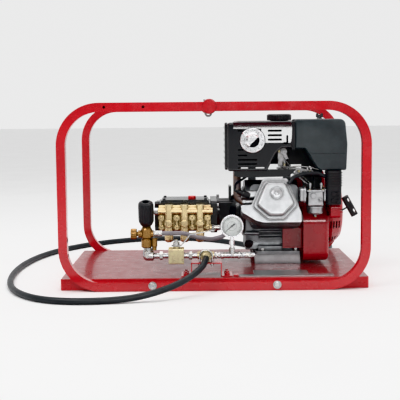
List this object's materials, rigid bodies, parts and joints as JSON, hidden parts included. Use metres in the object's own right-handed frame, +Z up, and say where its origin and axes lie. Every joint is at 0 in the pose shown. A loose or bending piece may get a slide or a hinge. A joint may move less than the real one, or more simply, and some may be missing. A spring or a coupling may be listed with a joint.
{
  "type": "pressure washer",
  "caption": "Petrol-engined pressure washer on a red tubular roll frame: triplex brass pump, unloader valve, gauge, ball valve and a long black delivery hose.",
  "frame": {"origin": "on the ground under the middle of the frame", "axes": "+X from the pump towards the recoil starter, +Y from the pipework side towards the fuel tank, +Z up"},
  "size_m": [1.1209, 1.2511, 0.5635],
  "materials": {
    "red_frame_paint": "glossy red powder coat",
    "red_engine_paint": "glossy dark red enamel",
    "black_paint": "satin black enamel",
    "gloss_black_shield": "gloss black with a bright reflection",
    "cast_aluminium": "fine-cast satin",
    "plain_aluminium": "brushed sheet",
    "forged_brass": "forged, lightly tarnished",
    "machined_brass": "machined, tarnished",
    "zinc_plate": "bright zinc plate",
    "yellow_zinc": "yellow zinc plate",
    "steel": "plain steel",
    "heat_tinted_steel": "heat-tinted exhaust steel",
    "chrome": "bright chrome",
    "grey_plastic": "fine-grained dark grey",
    "black_plastic": "moulded black",
    "red_plastic": "moulded red",
    "black_rubber": "smooth-covered hose",
    "grey_rubber": "grey low-pressure hose",
    "paper_element": "pleated filter paper",
    "clear_lens": "clear lens",
    "rope": "braided cord"
  },
  "bodies": {
    "frame": {"air_cleaner_base": "black_plastic", "air_cleaner_cover": "grey_plastic", "air_filter": "paper_element", "ball_valve_body": "yellow_zinc", "base_tray": "red_frame_paint", "bypass_hose": "grey_rubber", "carburettor": "cast_aluminium", "control_plate": "steel", "crankcase_cover": "cast_aluminium", "cylinder_head": "cast_aluminium", "engine_block": "cast_aluminium", "engine_hoses": "black_rubber", "engine_riser": "cast_aluminium", "exhaust_deflector": "chrome", "fan_housing": "red_engine_paint", "front_loop": "red_frame_paint", "fuel_tank": "black_paint", "gauge_case": "chrome", "gauge_lens": "clear_lens", "hose_coil": "black_rubber", "hose_plug": "zinc_plate", "hose_run": "black_rubber", "hose_tee": "yellow_zinc", "intake_elbow": "black_plastic", "lifting_eye": "steel", "muffler_body": "heat_tinted_steel", "muffler_shield": "gloss_black_shield", "pipe_bracket": "red_frame_paint", "pipe_fittings": "zinc_plate", "piston": "cast_aluminium", "pump_adapter": "black_paint", "pump_crankcase": "black_paint", "pump_manifold": "forged_brass", "pump_plungers": "steel", "rear_loop": "red_frame_paint", "recoil_housing": "red_engine_paint", "spark_plug_cap": "black_plastic", "top_cross_tube": "red_frame_paint", "tray_strips": "plain_aluminium", "unloader_body": "machined_brass", "valve_cover": "cast_aluminium", "zinc_bolts": "zinc_plate"},
    "crank_train": {"crankshaft": "steel", "flywheel_fan": "cast_aluminium", "pump_crankshaft": "steel"},
    "recoil_pulley": {"recoil_pulley": "black_plastic"},
    "starter_handle": {"starter_handle": "black_plastic", "starter_rope": "rope"},
    "choke_lever": {"choke_lever": "black_plastic"},
    "fuel_valve_lever": {"fuel_valve_lever": "black_plastic"},
    "throttle_lever": {"throttle_lever": "steel"},
    "fuel_cap": {"fuel_cap": "black_plastic"},
    "wing_nut": {"wing_nut": "black_plastic"},
    "oil_filler_cap": {"oil_filler_cap": "black_plastic"},
    "pump_oil_cap": {"pump_oil_cap": "red_plastic"},
    "unloader_knob": {"unloader_knob": "black_plastic"},
    "ball_valve": {"ball_valve_lever": "zinc_plate", "valve_ball": "chrome"},
    "inlet_swivel": {"inlet_swivel": "machined_brass"},
    "gauge_needle": {"gauge_needle": "black_paint"}
  },
  "joints": [
    {"name": "crank_spin", "type": "hinge", "parent": "frame", "child": "crank_train", "pos_m": [0.2, 0.07, 0.194], "axis": [1, 0, 0], "continuous": true},
    {"name": "starter_pull", "type": "slide", "parent": "frame", "child": "starter_handle", "axis": [0.8746, 0, 0.4848], "range_m": [0, 0.6], "stiffness_N_per_m": 20, "springref_m": -0.3},
    {"name": "recoil_pulley_spin", "type": "hinge", "parent": "frame", "child": "recoil_pulley", "pos_m": [0.4, 0.07, 0.194], "axis": [1, 0, 0], "range_deg": [0, 665]},
    {"name": "choke_turn", "type": "hinge", "parent": "frame", "child": "choke_lever", "pos_m": [0.374, -0.13, 0.266], "axis": [0, 1, 0], "range_deg": [0, 50]},
    {"name": "fuel_valve_turn", "type": "hinge", "parent": "frame", "child": "fuel_valve_lever", "pos_m": [0.374, -0.13, 0.246], "axis": [0, 1, 0], "range_deg": [0, 90]},
    {"name": "throttle_turn", "type": "hinge", "parent": "frame", "child": "throttle_lever", "pos_m": [0.224, -0.0745, 0.398], "axis": [0, 1, 0], "range_deg": [0, 45]},
    {"name": "fuel_cap_turn", "type": "hinge", "parent": "frame", "child": "fuel_cap", "pos_m": [0.225, 0.1, 0.5], "axis": [0, 0, 1], "range_deg": [0, 90]},
    {"name": "wing_nut_turn", "type": "hinge", "parent": "frame", "child": "wing_nut", "pos_m": [0.338, -0.06, 0.505], "axis": [0, 0, 1], "continuous": true},
    {"name": "oil_filler_turn", "type": "hinge", "parent": "frame", "child": "oil_filler_cap", "pos_m": [0.11302, -0.05674, 0.102], "axis": [-0.3489, -0.9371, 0], "continuous": true},
    {"name": "pump_oil_cap_turn", "type": "hinge", "parent": "frame", "child": "pump_oil_cap", "pos_m": [-0.067, 0, 0.245], "axis": [0, 0, 1], "continuous": true},
    {"name": "unloader_turn", "type": "hinge", "parent": "frame", "child": "unloader_knob", "pos_m": [-0.203, -0.221, 0.18], "axis": [0, -0.309, 0.9511], "range_deg": [-720, 720]},
    {"name": "ball_valve_turn", "type": "hinge", "parent": "frame", "child": "ball_valve", "pos_m": [-0.114, -0.225, 0.093], "axis": [0, 0, -1], "range_deg": [0, 90]},
    {"name": "inlet_swivel_turn", "type": "hinge", "parent": "frame", "child": "inlet_swivel", "pos_m": [-0.24, -0.225, 0.16], "axis": [1, 0, 0], "continuous": true},
    {"name": "gauge_needle_turn", "type": "hinge", "parent": "frame", "child": "gauge_needle", "pos_m": [0.0535, -0.236, 0.182], "axis": [0, 1, 0], "range_deg": [0, 265], "stiffness_Nm_per_rad": 0.0005, "springref_deg": -11.46}
  ],
  "couplings": [
    {"joint": "recoil_pulley_spin", "follows": "starter_pull", "rad_per_m": 19.23}
  ]
}
